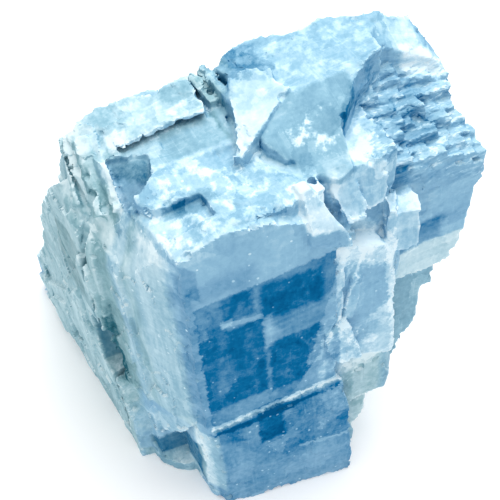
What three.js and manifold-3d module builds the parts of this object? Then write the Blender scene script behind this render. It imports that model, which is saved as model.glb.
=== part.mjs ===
// A hand specimen of blue calcite: one broken mass of intergrown cleavage blocks.
// Millimetres, +Z up, standing on a flat rest at z = 0.
import * as THREE from 'three';
import { mergeVertices } from 'three/addons/utils/BufferGeometryUtils.js';
import Module from 'manifold-3d';

const wasm = await Module();
wasm.setup();

// Driving dimensions.
const CREST = 53;              // height of the main block's front left corner above the ground
const CORNER = [-3.21, -21.7]; // where that corner stands, seen from above
const WINDOW_WIDTH = 18.8;     // smooth front wall, along the sideways edges
const WINDOW_DROP = 32.6;      // from the corner down to the rim over the foot
const MERGE = 0.04;            // points closer than this become one

// The three cleavage planes of calcite, each given by where it faces: degrees to the right of
// straight ahead, and degrees up. Nearly every block below is cut along them.
function facing(turn, rise) {
  const across = THREE.MathUtils.degToRad(turn);
  const up = THREE.MathUtils.degToRad(rise);
  return new THREE.Vector3(Math.sin(across) * Math.cos(up), -Math.cos(across) * Math.cos(up), Math.sin(up));
}
const LEFT = facing(-57.6, -1);
const FRONT = facing(17.2, 5.1);
const TOP = facing(-36.4, 72.7);

// Cleavage coordinates: [left, front, up] are distances from the main block's front left corner,
// measured square to the three planes.
const toWorld = new THREE.Matrix4().set(
  LEFT.x, LEFT.y, LEFT.z, 0,
  FRONT.x, FRONT.y, FRONT.z, 0,
  TOP.x, TOP.y, TOP.z, 0,
  0, 0, 0, 1,
).invert().setPosition(CORNER[0], CORNER[1], CREST);
const place = ([left, front, up]) => new THREE.Vector3(left, front, up).applyMatrix4(toWorld);

// A closed three.js geometry as a solid that can be joined and cut.
function solid(geometry) {
  const bare = new THREE.BufferGeometry();
  bare.setAttribute('position', geometry.getAttribute('position').clone());
  if (geometry.index) bare.setIndex(geometry.index.clone());
  const merged = mergeVertices(bare, 1e-4);
  return new wasm.Manifold(new wasm.Mesh({
    numProp: 3,
    vertProperties: new Float32Array(merged.getAttribute('position').array),
    triVerts: new Uint32Array(merged.index.array),
  }));
}

function drawn(outline, depth) {
  const points = outline.map(([x, y]) => new THREE.Vector2(x, y));
  if (THREE.ShapeUtils.area(points) < 0) points.reverse();
  return new THREE.ExtrudeGeometry(new THREE.Shape(points), { depth, bevelEnabled: false });
}

// A column: its outline is [left, front], and it runs up along the upright edges.
function column(outline, bottom, top) {
  const geometry = drawn(outline, top - bottom).translate(0, 0, bottom);
  return solid(geometry.applyMatrix4(toWorld));
}

// A course: its profile is [front, up], and it runs sideways from right to left.
const sideways = new THREE.Matrix4().set(0, 0, 1, 0, 1, 0, 0, 0, 0, 1, 0, 0, 0, 0, 0, 1);
function course(profile, right, left) {
  const geometry = drawn(profile, left - right).translate(0, 0, right).applyMatrix4(sideways);
  return solid(geometry.applyMatrix4(toWorld));
}

// A leaf: its outline is [left, up], and it runs from back to front.
const forwards = new THREE.Matrix4().set(1, 0, 0, 0, 0, 0, -1, 0, 0, 1, 0, 0, 0, 0, 0, 1);
function leaf(outline, back, front) {
  const geometry = drawn(outline, front - back).translate(0, 0, -front).applyMatrix4(forwards);
  return solid(geometry.applyMatrix4(toWorld));
}

// A plain cleavage block between two values each way.
function block([right, left], [back, front], [bottom, top]) {
  return column([[right, back], [left, back], [left, front], [right, front]], bottom, top);
}

// The stone without what lies above, or below, the plane through three points on it.
function trimmed(stone, points, side) {
  const [a, b, c] = points.map(place);
  const normal = b.clone().sub(a).cross(c.clone().sub(a)).normalize();
  if (normal.z * side < 0) normal.negate();
  const reach = 160;
  const half = new THREE.BoxGeometry(reach, reach, reach).translate(0, 0, reach / 2);
  half.applyQuaternion(new THREE.Quaternion().setFromUnitVectors(new THREE.Vector3(0, 0, 1), normal));
  return stone.subtract(solid(half.translate(a.x, a.y, a.z)));
}
const sloped = (stone, ...points) => trimmed(stone, points, 1);
const undercut = (stone, ...points) => trimmed(stone, points, -1);
const join = (pieces) => pieces.reduce((all, piece) => all.add(piece));
const cut = (stone, cuts) => cuts.reduce((rest, piece) => rest.subtract(piece), stone);

// A straight bar with a few sides from one place to another, for ribs to add and grooves to cut.
function bar(from, to, radius, sides = 5) {
  const start = place(from);
  const end = place(to);
  const length = start.distanceTo(end);
  const shape = new THREE.CylinderGeometry(radius, radius, length, sides, 1);
  const along = end.clone().sub(start).normalize();
  shape.applyQuaternion(new THREE.Quaternion().setFromUnitVectors(new THREE.Vector3(0, 1, 0), along));
  const middle = start.add(end).multiplyScalar(0.5);
  return solid(shape.translate(middle.x, middle.y, middle.z));
}

// Main block: the smooth front wall, the frosted top in two levels, and the paler flank round
// its left corner, which hangs over a hollow at its lower end.
function mainBlock() {
  const wall = leaf([
    [0.2, -WINDOW_DROP], [0.2, 0.3], [-5.4, 1.4], [-10.2, 0.4], [-16, -2.4], [-18.2, -5.2],
    [-WINDOW_WIDTH, -8.2], [-WINDOW_WIDTH, -WINDOW_DROP - 2], [0.2, -WINDOW_DROP - 2],
  ], -3, 0);
  const inside = block([-WINDOW_WIDTH + 0.1, 0.1], [-26, -2.2], [-44, -1.6]);
  const lowTop = column([[0.1, -0.9], [-7, -0.9], [-7, -8.1], [1.3, -8.1]], -6, 0.1);
  const highTop = column([
    [-6.1, -0.95], [-14, -0.95], [-15.6, -1.8], [-17.6, -1.5], [-18.6, -2], [-18.6, -9], [-14, -20],
    [2.2, -20], [1.6, -11], [-0.6, -6.4], [-6.4, -6.6],
  ], -6, 1.6);
  const frontTop = sloped(highTop, [-6.1, -1, 1.4], [-12, -1, 0.6], [-8, -14, 0.8]);
  const side = column([
    [-6.1, -0.7], [0.15, -0.7], [0.7, -1.6], [2.4, -5.2], [4.2, -10], [5.2, -13.6], [5.8, -16.6],
    [-6.1, -18.1],
  ], -45.3, 0.3);
  const hanging = undercut(side, [0.6, -3.1, -34.3], [3.2, -10.6, -44], [-3, -8, -37]);
  const stone = join([wall, inside, lowTop, frontTop, hanging]);
  return sloped(stone, [0.2, 0.1, 0], [5, -13.4, -9.5], [0.7, -9, 0.2]);
}

// Rounded knob where the main block's top meets its right end.
function knob() {
  const lump = leaf([
    [-15.3, 0.9], [-16.5, 1], [-17.5, -0.4], [-18.9, -3.1], [-20, -5.8], [-20.2, -7.3], [-19.5, -8.6],
    [-18.4, -8.4], [-15.3, -5.6],
  ], -2.9, 0.7);
  const round = sloped(lump, [-15.4, -1.4, 0.9], [-17.6, -1.4, 0.4], [-17.5, 0.5, -3.4]);
  const cheeked = sloped(round, [-16.8, -1.9, 0.6], [-18.4, -0.6, -2.6], [-20.2, -1.2, -6.4]);
  return undercut(cheeked, [-15.3, 0.7, -5], [-19.6, 0.2, -7.6], [-17, -1, -7.4]);
}

// Foot under the rim, a little proud of the wall, and the low nub beside it.
function foot() {
  const stone = column([[-20.8, 1], [-0.7, 1], [0.7, -1.4], [0.4, -9], [-20.8, -9]], -66, -WINDOW_DROP + 0.4);
  const faced = sloped(stone, [-1, 0.6, -33], [-15, 0.6, -33], [-8, 1.9, -52]);
  const narrowed = sloped(faced, [-19.4, 0, -33], [-21, 0, -45], [-19.6, -9, -33]);
  const nub = sloped(
    column([[-2, -6.2], [1.6, -6.2], [3.4, -7], [5, -8.8], [5.3, -11.6], [4.4, -16], [-2, -16]], -66, -45),
    [1, -6, -48.6], [4.5, -8, -48], [2, -13, -46.6],
  );
  return join([narrowed, nub]);
}

// Left side: layers that step down towards the back, with a ribbed shoulder above them.
function leftLayers() {
  const heel = course([
    [-12.4, -2], [-19, -1.5], [-23.6, -6], [-31, -15], [-36, -22.4], [-40, -29.4], [-41.4, -33],
    [-50.5, -44.5], [-53.4, -51], [-53.4, -70], [-11, -70], [-11, -40], [-14.5, -34],
  ], -6, 6.1);
  const skirt = course([
    [-13.6, -12], [-16, -10.5], [-32, -34], [-44, -44.6], [-51.4, -49.6], [-51.4, -70], [-11.2, -70],
    [-11.2, -40.2], [-14.6, -34],
  ], -6, 6.9);
  const middle = course([
    [-9, -1], [-18.4, -1], [-22, -6.4], [-27, -13], [-31, -21], [-31, -60], [-9, -60],
  ], -6, 4.5);
  const upper = course([
    [-8, -0.8], [-15.5, 1.6], [-22, 1.2], [-24.3, -0.6], [-29, -6.6], [-33.5, -14.5], [-34, -40], [-8, -40],
  ], -6, 2.1);
  const shoulder = sloped(join([heel, middle, upper]), [2.7, -21.4, 2.5], [2, -12, -2], [5, -20, -2.8]);
  const ribs = [
    bar([1.9, -22.8, 0.2], [3.9, -17.4, -5], 1.7, 8),
    bar([0.9, -20.4, 1.2], [3, -13.2, -3.6], 1.6, 8),
    bar([0, -17.8, 1], [1.5, -11.6, -2], 1.1, 7),
  ];
  const scales = [
    course([[-21, -21.5], [-25.6, -27.6], [-31, -38], [-28, -43], [-21.6, -36.6], [-19.4, -28]], 5, 7.5),
    course([[-33, -37.6], [-41, -44.4], [-45, -49.4], [-39, -51], [-32, -45]], 5, 7.6),
  ];
  return join([shoulder, skirt, ...ribs, ...scales]);
}

// Upper left block, with a thin lip over a slot along its front.
function upperLeftBlock() {
  const top = column([
    [2.7, -21.4], [0.5, -22.1], [-1.6, -23.1], [-3.9, -22.6], [-7.1, -21.9], [-10.4, -22], [-14.3, -21],
    [-12.2, -15.8], [-8.1, -16.3], [-4.8, -16.1], [-1.9, -15.9], [0.2, -17.2], [2, -19.4],
  ], 0.3, 2.6);
  const base = block([-15, 0.4], [-24.2, -17.9], [-10, 0.9]);
  const ramp = course([[-19, 1.3], [-17.4, 1.25], [-11.5, 0.7], [-11.5, -3], [-19, -3]], -14.4, -2.2);
  return join([sloped(top, [2.7, -21.4, 1.6], [1, -18.4, 1.6], [-1.6, -20.4, 3]), base, ramp]);
}

// Thin upright slabs between the upper left block and the upper mass.
function uprightSlabs() {
  const slabs = [
    { right: -14.4, left: -13.4, back: -22.6, front: -17.2, top: 2.1 },
    { right: -15.8, left: -14.8, back: -22.4, front: -15.6, top: 2.9 },
    { right: -17, left: -15.6, back: -21.6, front: -13.6, top: 1.7 },
  ];
  return join(slabs.map(({ right, left, back, front, top }) => (
    block([right, left], [back, front], [-12, top])
  )));
}

// Upper mass behind the main block, with one pale flake lying on its sloping front.
function upperMass() {
  const mass = column([
    [-15.4, -9.2], [-17.4, -5], [-21, -2.8], [-23.2, -3.4], [-24.3, -7.8], [-26, -9.3], [-28.4, -11.5],
    [-31.2, -13.1], [-33.3, -13.9], [-33.4, -20.6], [-30.4, -22.2], [-27.4, -21.8], [-25.4, -21.6],
    [-23.6, -23.2], [-21.4, -23.4], [-18.5, -22.3], [-16.1, -21], [-17, -16.5], [-17.6, -12.5],
  ], -14, 4.4);
  const slanting = sloped(mass, [-20, -15, 3.2], [-33, -15, 3.1], [-20, -23, 2.9]);
  const face = sloped(slanting, [-20.9, -12.2, 3.1], [-27.5, -12.1, 3], [-17.2, -5.3, 0]);
  const wing = sloped(column([
    [-32, -13.9], [-34.4, -15.2], [-36, -15.1], [-39.6, -14.6], [-41.6, -14.2], [-42.4, -15],
    [-41.6, -17.8], [-40.4, -19.4], [-37.6, -18.9], [-35.4, -19.6], [-32, -21],
  ], -14, 2.9), [-35.6, -18.9, 3], [-40.4, -19.2, 0.6], [-34.5, -15, 1.4]);
  const bevelled = sloped(wing, [-40.6, -19, 0.4], [-39.9, -14.7, -1.2], [-42.2, -16, -3.2]);
  const flake = column([
    [-11.4, -8.8], [-12.3, -8], [-15, -9.5], [-18, -11.2], [-21.2, -12.8], [-20.4, -14.4], [-20.8, -16.2],
    [-18.6, -17.6], [-16.2, -17.8], [-15, -15.4], [-13.4, -11.2],
  ], -4, 5);
  return join([face, bevelled, sloped(flake, [-16.2, -17.9, 3.7], [-21.5, -12.9, 4], [-12, -8.2, 1.9])]);
}

// Right block: a banded front wall, and a top that falls towards it in thin standing leaves with
// frayed upper edges.
const FRAYED = { front: -5.7, back: -14.8, thickness: 0.85, right: -42.6, left: -25.4, tooth: 0.9 };
function frayedLeaf(front, back, random) {
  const level = (left) => 0.83 + 0.349 * left - 0.676 * front;
  const end = FRAYED.right + (random() < 0.25 ? 1.3 : 0.4 * random());
  const outline = [[FRAYED.left, -14]];
  let left = FRAYED.left;
  while (left > end + FRAYED.tooth) {
    const width = Math.min(FRAYED.tooth + 3.2 * random() ** 2, left - end);
    const top = level(left) + 0.5 * random() - 0.3;
    outline.push([left, top], [left - width + 0.12, top - 0.1 * width]);
    left -= width;
  }
  outline.push([left, -14]);
  return leaf(outline, back, front);
}

function rightBlock(random) {
  const wall = leaf([
    [-24, -6], [-28.7, -6.4], [-41.9, -10.6], [-41.7, -13], [-41.2, -17], [-40, -23.2], [-39.1, -25.7],
    [-37.6, -26.4], [-24, -26.4],
  ], -20.5, -5.5);
  const roofed = sloped(wall, [-28.7, -5.4, -6.3], [-41.8, -5.4, -10.9], [-36, -15, -2.6]);
  const lower = leaf([
    [-23, -25], [-38, -25], [-37.6, -31], [-36, -31], [-35.9, -37], [-35.2, -39], [-33.6, -41], [-32, -43.6],
    [-23, -43.6],
  ], -34, -6.6);
  const bed = sloped(
    column([[-25, -6], [-41.4, -6], [-41.6, -16], [-40, -19], [-25, -19]], -14, 2),
    [-26, -6, -5], [-41, -6, -10.2], [-33, -15, -1.5],
  );
  const leaves = [];
  let front = FRAYED.front;
  while (front > FRAYED.back) {
    const back = front - FRAYED.thickness * (1 + 0.9 * random());
    leaves.push(frayedLeaf(front, back - 0.4, random));
    front = back;
  }
  return join([roofed, lower, bed, ...leaves]);
}

// Crowded small blocks between the knob and the right block.
function rightCluster() {
  const seat = column([[-18, -2.2], [-28.4, -2.6], [-30.5, -4.6], [-30.6, -12], [-18, -12]], -44, -13.4);
  const rear = column([
    [-18, -4.5], [-24.3, -4.1], [-26.4, -3.7], [-29.2, -4.6], [-29.2, -14], [-18, -14],
  ], -14, -1.6);
  const ribbed = sloped(
    leaf([[-19.5, -1.2], [-22.9, -1.1], [-23.9, -5.5], [-22.9, -6.5], [-21, -6.3]], -9, -0.6),
    [-19.6, -3.6, -1.5], [-22.9, -3.6, -1.4], [-22.2, -1.2, -6.1],
  );
  const pale = sloped(
    leaf([[-22.6, -0.9], [-27.1, -2.2], [-27.4, -5.8], [-26.7, -7.3], [-24.2, -7.4]], -9, -1.8),
    [-22.9, -3.7, -1.1], [-27, -3.7, -2.4], [-25.4, -2.5, -7.2],
  );
  const uprights = [
    column([[-26.7, -2.2], [-27.9, -1.8], [-29.6, -4.6], [-29, -6.2], [-28.4, -5.2]], -18, -8.5),
    column([[-28.2, -2.4], [-30.7, -1.5], [-31.7, -3.5], [-31.6, -6.2], [-29.8, -6]], -15.8, -9.5),
  ];
  return join([seat, rear, ribbed, pale, ...uprights]);
}

// Pale plate that stands against the right end of the front wall, and the slabs under it.
function plate() {
  const pane = leaf([
    [-18.6, -9.4], [-20.8, -10.4], [-26.1, -12.4], [-27.3, -14.4], [-28.2, -24], [-28.5, -33.2],
    [-27.8, -34.2], [-21.2, -30.6], [-18.6, -28.8],
  ], -5.1, -1.3);
  const flake = leaf([[-17.3, -22.3], [-17.5, -26.2], [-19, -28.6], [-22, -29], [-20.6, -22]], -4.1, 0.6);
  const ribs = [
    leaf([[-19, -11], [-20.4, -12], [-19.8, -21.7], [-18.9, -21.7]], -3.9, -0.5),
    leaf([[-21.7, -15], [-22.9, -16], [-21.6, -22.4], [-20.3, -21.9]], -3.7, -0.8),
  ];
  const shelf = leaf([[-18.1, -32], [-28.6, -32.4], [-28.5, -36.2], [-22.3, -37], [-18.1, -36]], -9.1, -2.4);
  const prop = leaf([
    [-18, -34.3], [-28.4, -35.8], [-28.8, -39], [-28.4, -40.6], [-27.6, -41.8], [-26.4, -42.2],
    [-26.1, -43.5], [-25.6, -48.2], [-24.7, -49.7], [-23.9, -51.3], [-23.8, -66], [-18, -66],
  ], -14, -3.2);
  return join([pane, flake, ...ribs, shelf, prop]);
}

// The mass inside and behind, broken down to the ground at the back in uneven cleavage steps. Each
// step is [top, [left, back], [left, back], ...]: its back wall jogs from one back line to the next.
function backSteps() {
  const steps = [
    [0.4, [-0.5, -23.2], [-8.6, -24.4], [-16, -22.6], [-24]],
    [-3.4, [0.5, -25], [-6, -26.6], [-17, -25], [-27, -22], [-36.5]],
    [-7.6, [1, -28.6], [-11, -26.8], [-20.4, -27.8], [-29, -25.2], [-36]],
    [-13.4, [2.6, -32.6], [-7.4, -30.4], [-14, -32.2], [-25, -29], [-34]],
    [-17, [1.4, -34.8], [-4.4, -33.2], [-21, -34.4], [-30, -30.6], [-36.2]],
    [-25.4, [4, -39.4], [-9, -37.4], [-18, -39.8], [-27.6, -35], [-33]],
    [-31, [0, -42.6], [-12.4, -43.6], [-22, -38.6], [-31]],
    [-38.6, [3.2, -47.6], [-6.6, -45.4], [-15.6, -47], [-26]],
    [-45, [2, -50.6], [-10, -48.6], [-17.4, -50], [-23]],
  ];
  const stairs = steps.map(([top, ...lines]) => {
    const outline = [[lines[0][0], -9]];
    for (let jog = 0; jog + 1 < lines.length; jog += 1) {
      const [left, back] = lines[jog];
      const [right] = lines[jog + 1];
      outline.push([left, back], [right + 0.3, back + 0.4]);
    }
    const [right] = lines[lines.length - 1];
    outline.push([right, -13 - 0.1 * right], [right + 1.4, -11], [-19.3, -8.3]);
    return column(outline, -70, top);
  });
  // the right side leans in towards the ground, in two facets
  const leaning = undercut(join(stairs), [-37.6, -6, -23], [-29.4, -6, -41], [-40, -30, -22]);
  return undercut(leaning, [-36, -33, -24], [-25, -14, -54], [-29, -42, -40]);
}

// Grooves, slots and hollows.
function crevices() {
  return [
    // the gap along the left edge of the flank, with a deep hole half way down
    column([[8, -14.5], [8, -15.3], [3, -16.4], [3, -15.6]], -48, -9),
    column([[8, -13.6], [8, -18.6], [2.5, -18], [2.5, -15]], -34.5, -23.5),
    // the gap above it, between the ribbed shoulder and the flank
    bar([3.4, -14.6, -0.6], [6.6, -15.6, -10.8], 1, 4),
    // grooves between the ribs
    bar([3, -23.4, 1.4], [4.6, -13.6, -5.6], 0.6, 4),
    bar([1.9, -17.6, 2], [3.2, -10.8, -3.4], 0.55, 4),
    // slits on the left side
    course([[-17.3, -11.4], [-16.3, -11.2], [-20.6, -18], [-21.2, -17.8]], 4.6, 9),
    course([[-27.2, -39.6], [-33.8, -45], [-33, -46.6], [-27, -41.4]], 6.1, 9),
    // pocket behind the top of the flank
    undercut(
      column([[0.4, -16.2], [-4, -14.4], [-3, -11.2], [-0.5, -9.2], [1.2, -10], [1, -13]], -6, 3),
      [-1, -16.2, 1.1], [-3.8, -14.6, 1.1], [0, -9.6, -3.4],
    ),
    // slot under the lip of the upper left block
    course([[-18.6, 1.4], [-18.6, 2], [-14, 2], [-14, 1.35]], -12.4, -1.4),
    // shallow gap between the upper left block and the slabs
    block([-13.3, -12.8], [-24.4, -16.2], [0.9, 5]),
    // narrow gap where the upper mass meets the right block
    bar([-24.6, -7.2, -0.6], [-34.4, -13.9, 0.6], 0.7, 4),
    // crevice between the knob and the ribbed block
    bar([-17.6, -3.6, -0.2], [-20.9, -1, -7.4], 0.8, 4),
  ];
}

// Small seeded random numbers, so that the stone is the same every time.
function seeded(seed) {
  let state = seed;
  return () => {
    state = (state * 1664525 + 1013904223) % 4294967296;
    return state / 4294967296;
  };
}

function calciteMass() {
  const random = seeded(7);
  const grown = join([
    backSteps(), mainBlock(), knob(), foot(), leftLayers(), upperLeftBlock(), uprightSlabs(), upperMass(),
    rightBlock(random), rightCluster(), plate(),
  ]);
  const ground = solid(new THREE.BoxGeometry(300, 300, 100).translate(0, 0, -50));
  return cut(grown, [...crevices(), ground]).simplify(MERGE);
}

function meshOf(mass, name, material) {
  const { vertProperties, triVerts } = mass.getMesh();
  const geometry = new THREE.BufferGeometry();
  geometry.setAttribute('position', new THREE.BufferAttribute(new Float32Array(vertProperties), 3));
  geometry.setIndex(new THREE.BufferAttribute(new Uint32Array(triVerts), 1));
  geometry.computeVertexNormals();
  const mesh = new THREE.Mesh(geometry, material);
  mesh.name = name;
  return mesh;
}

const calcite = new THREE.MeshStandardMaterial({ color: 0x8fb9cf, roughness: 0.45, metalness: 0 });
const specimen = new THREE.Group();
specimen.add(meshOf(calciteMass(), 'calcite_mass', calcite));

export default specimen;
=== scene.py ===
import math
import random
import bmesh
import bpy
from mathutils import Matrix, Vector


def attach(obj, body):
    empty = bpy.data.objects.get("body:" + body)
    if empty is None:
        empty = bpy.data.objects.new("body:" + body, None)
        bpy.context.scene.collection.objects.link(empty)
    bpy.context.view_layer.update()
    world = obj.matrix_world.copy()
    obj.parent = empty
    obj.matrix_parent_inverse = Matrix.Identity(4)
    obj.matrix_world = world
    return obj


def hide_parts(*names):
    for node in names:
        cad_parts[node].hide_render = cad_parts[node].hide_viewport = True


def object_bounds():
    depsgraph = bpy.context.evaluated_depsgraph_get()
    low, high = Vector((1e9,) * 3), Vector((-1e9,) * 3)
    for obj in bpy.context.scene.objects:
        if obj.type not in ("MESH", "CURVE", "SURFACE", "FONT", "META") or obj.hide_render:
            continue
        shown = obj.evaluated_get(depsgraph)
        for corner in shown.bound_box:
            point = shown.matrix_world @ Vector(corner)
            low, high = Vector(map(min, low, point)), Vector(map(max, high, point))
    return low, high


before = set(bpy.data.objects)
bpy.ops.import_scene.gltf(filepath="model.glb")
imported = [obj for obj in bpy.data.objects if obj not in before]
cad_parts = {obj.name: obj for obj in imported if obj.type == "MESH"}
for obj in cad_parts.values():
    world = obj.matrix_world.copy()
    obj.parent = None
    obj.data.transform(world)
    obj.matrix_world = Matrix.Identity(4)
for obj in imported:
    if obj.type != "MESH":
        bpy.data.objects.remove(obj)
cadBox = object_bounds()
mm = 0.001
scene = bpy.context.scene


def deselectAll():
    if bpy.context.mode != "OBJECT":
        bpy.ops.object.mode_set(mode="OBJECT")
    bpy.ops.object.select_all(action="DESELECT")


def pickOnly(thing):
    deselectAll()
    thing.select_set(True)
    bpy.context.view_layer.objects.active = thing


def inEditMode(thing, *steps):
    # each step is an edit-mode operator with its settings, run on everything selected
    pickOnly(thing)
    bpy.ops.object.mode_set(mode="EDIT")
    bpy.ops.mesh.select_all(action="SELECT")
    for operator, settings in steps:
        operator(**settings)
    bpy.ops.object.mode_set(mode="OBJECT")


def applyModifier(thing, kind, **settings):
    pickOnly(thing)
    modifier = thing.modifiers.new(kind.title(), kind)
    for name, value in settings.items():
        setattr(modifier, name, value)
    bpy.ops.object.modifier_apply(modifier=modifier.name)


# the cleavage: three flat directions that every face and step follows
cleavage = {
    "corner": Vector((-3.21, -21.7, 53.0)),  # where the three big faces would meet, in mm
    "left": (-57.6, -1.0),                   # turn and lift of each outward direction, in degrees
    "front": (17.2, 5.1),
    "top": (-36.4, 72.7),
}


def direction(name):
    turn, lift = (math.radians(angle) for angle in cleavage[name])
    return Vector((math.sin(turn) * math.cos(lift), -math.cos(turn) * math.cos(lift), math.sin(lift)))


left, front, top = direction("left"), direction("front"), direction("top")
toCleavage = Matrix((left, front, top))
fromCleavage = toCleavage.inverted()


def cleavagePoint(co):
    # distances in mm outside the left, front and top faces
    return toCleavage @ (co / mm - cleavage["corner"])


# the stone: a merged copy of the solid, chipped along its edges
solid = {
    "merge": 0.002,      # mm, points nearer than this become one
    "flat": 1.5,         # degrees, faces that turn less than this become one
}
chips = {
    "seed": 11,
    "sharpFrom": 25,           # degrees between two faces that make an edge worth chipping
    "gap": (1.6, 7.0),         # mm along an edge from one chip to the next
    "size": (0.3, 1.3),        # mm, each side of a chip
    "shortest": 1.8,           # mm, an edge shorter than this keeps its corners
    "clear": 0.5,              # mm left whole at both ends of an edge
    "share": 0.4,              # the most of an edge's length that one chip takes
    # mm from the left, front and top faces, where the window keeps its edges whole
    "keepLeft": (-17.5, -1.5), "keepFront": 1.0, "keepTop": (-31, -1.5),
}


def newStone():
    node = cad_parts["calcite_mass"]
    stone = bpy.data.objects.new("calcite_stone", node.data.copy())
    scene.collection.objects.link(stone)
    inEditMode(stone,
               (bpy.ops.mesh.remove_doubles, {"threshold": solid["merge"] * mm}),
               (bpy.ops.mesh.dissolve_limited, {"angle_limit": math.radians(solid["flat"])}))
    return stone


def sharpEdges(stone):
    mesh = bmesh.new()
    mesh.from_mesh(stone.data)
    found = []
    for edge in mesh.edges:
        if len(edge.link_faces) == 2 and edge.calc_face_angle_signed() > math.radians(chips["sharpFrom"]):
            found.append((edge.verts[0].co.copy(), edge.verts[1].co.copy()))
    mesh.free()
    return found


def onWindow(point):
    return (chips["keepLeft"][0] < point.x < chips["keepLeft"][1]
            and chips["keepTop"][0] < point.z < chips["keepTop"][1]
            and abs(point.y) < chips["keepFront"])


def chipEdges(stone):
    draw = random.Random(chips["seed"])
    bpy.ops.object.select_all(action="DESELECT")
    bpy.ops.mesh.primitive_cube_add(size=1)
    rhomb = bpy.context.active_object
    corners = [corner.co.copy() for corner in rhomb.data.vertices]
    sides = [tuple(side.vertices) for side in rhomb.data.polygons]
    places, faces = [], []
    for start, end in sharpEdges(stone):
        length = (end - start).length / mm
        if length < chips["shortest"]:
            continue
        along = chips["clear"] + draw.uniform(0, chips["gap"][0])
        while along < length - chips["clear"]:
            spot = start.lerp(end, along / length)
            largest = min(chips["size"][1], chips["share"] * length)
            size = Vector([draw.uniform(chips["size"][0], largest) * mm for axis in range(3)])
            along += draw.uniform(*chips["gap"])
            if onWindow(cleavagePoint(spot)):
                continue
            first = len(places)
            places += [spot + fromCleavage @ (corner * size) for corner in corners]
            faces += [tuple(first + index for index in side) for side in sides]
    rhomb.data.clear_geometry()
    rhomb.data.from_pydata(places, [], faces)
    applyModifier(stone, "BOOLEAN", operation="DIFFERENCE", object=rhomb, solver="MANIFOLD")
    bpy.data.objects.remove(rhomb)
    print("chips:", len(faces) // 6)


grain = {
    "cell": 0.24,        # mm, the side of a remesh cell
    "faces": 194000,     # triangles left at the end
    "inside": 0.02,      # mm kept clear of the sides of the solid's box
    "restsUnder": 0.12,  # mm, what is lower than this lies on the floor
    "smoothTo": 32,      # degrees, sharper edges stay sharp
}


def regrain(stone):
    applyModifier(stone, "REMESH", mode="VOXEL", voxel_size=grain["cell"] * mm, adaptivity=0)
    applyModifier(stone, "TRIANGULATE")
    print("remeshed:", len(stone.data.polygons))


def thinOut(stone):
    share = grain["faces"] / len(stone.data.polygons)
    if share < 1:
        applyModifier(stone, "DECIMATE", decimate_type="COLLAPSE", ratio=share)
    print("thinned to:", len(stone.data.polygons))


# relief: a slow swell, frost, frayed edges, streaks and low cleavage steps
def smoothStep(value, low, high):
    share = min(max((value - low) / (high - low), 0), 1)
    return share * share * (3 - 2 * share)


reliefPlaces = {
    # mm from the left, front and top faces: the calm window and the smooth slope behind its top
    "windowLeft": (-20, 1), "windowFront": -1.2, "windowTop": (-33, 0.3),
    "slopeLeft": (-27.8, -11), "slopeFront": (-19, -3), "slopeTop": 0.6, "slopeLean": 0.28,
    # where the slope's smoothness and the frayed zone go from none to full
    "slopeFadeFront": (3, 5), "slopeFadeLeft": (14, 16),
    "frayedLeft": (27, 30), "frayedTop": (-10, -7), "frayedFront": (4, 6),
    "frayedBack": (-16.5, -14.5),
    "restBelow": -40,        # the resting face is left flat below this
}


def reliefWeights(point, facingWay):
    # how strongly each kind of relief shows at a place on the stone
    places = reliefPlaces
    if facingWay.z < -0.9 and point.z < places["restBelow"]:
        return {}
    onTop = smoothStep(facingWay.dot(top), 0.55, 0.85)
    calm = 0
    if (places["windowLeft"][0] < point.x < places["windowLeft"][1] and point.y > places["windowFront"]
            and places["windowTop"][0] < point.z < places["windowTop"][1]):
        calm = smoothStep(facingWay.dot(front), 0.75, 0.95)
    smoothSlope = 0
    if (places["slopeLeft"][0] < point.x < places["slopeLeft"][1]
            and places["slopeFront"][0] < point.y < places["slopeFront"][1]
            and point.z + places["slopeLean"] * point.y < places["slopeTop"]):
        smoothSlope = smoothStep(-point.y, *places["slopeFadeFront"])
        smoothSlope *= smoothStep(-point.x, *places["slopeFadeLeft"])
    besideWindow = 1 - 0.65 * smoothStep(facingWay.dot(front), 0.8, 0.95)
    frayedZone = smoothStep(-point.x, *places["frayedLeft"]) * smoothStep(point.z, *places["frayedTop"])
    frayedZone *= smoothStep(-point.y, *places["frayedFront"])
    frayedZone *= smoothStep(point.y, *places["frayedBack"])
    return {
        "swell": 1 - calm,
        "frost": (0.12 + 0.88 * onTop) * (1 - 0.6 * frayedZone) * (1 - calm) * (1 - 0.7 * smoothSlope),
        "frayed": frayedZone,
        "streaks": (1 - onTop) * (1 - calm) * (1 - frayedZone),
        "steps": ((1 - calm) * (1 - frayedZone) * (1 - smoothSlope) * (0.45 if onTop > 0.5 else 1)
                  * besideWindow),
    }


relief = {
    "swell": {"depth": 0.60, "grain": (5.0, 5.0, 5.0), "kind": "CLOUDS", "octaves": 1},
    "frost": {"depth": 0.24, "grain": (1.2, 1.2, 1.2), "kind": "CLOUDS", "octaves": 4},
    "frayed": {"depth": 0.70, "grain": (2.2, 0.75, 0.6), "kind": "CLOUDS", "octaves": 4},
    "streaks": {"depth": 0.12, "grain": (1.6, 1.6, 9.0), "kind": "CLOUDS", "octaves": 2},
    "steps": {"depth": 0.75, "grain": (3.4, 3.8, 5.2), "kind": "VORONOI"},
}


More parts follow.
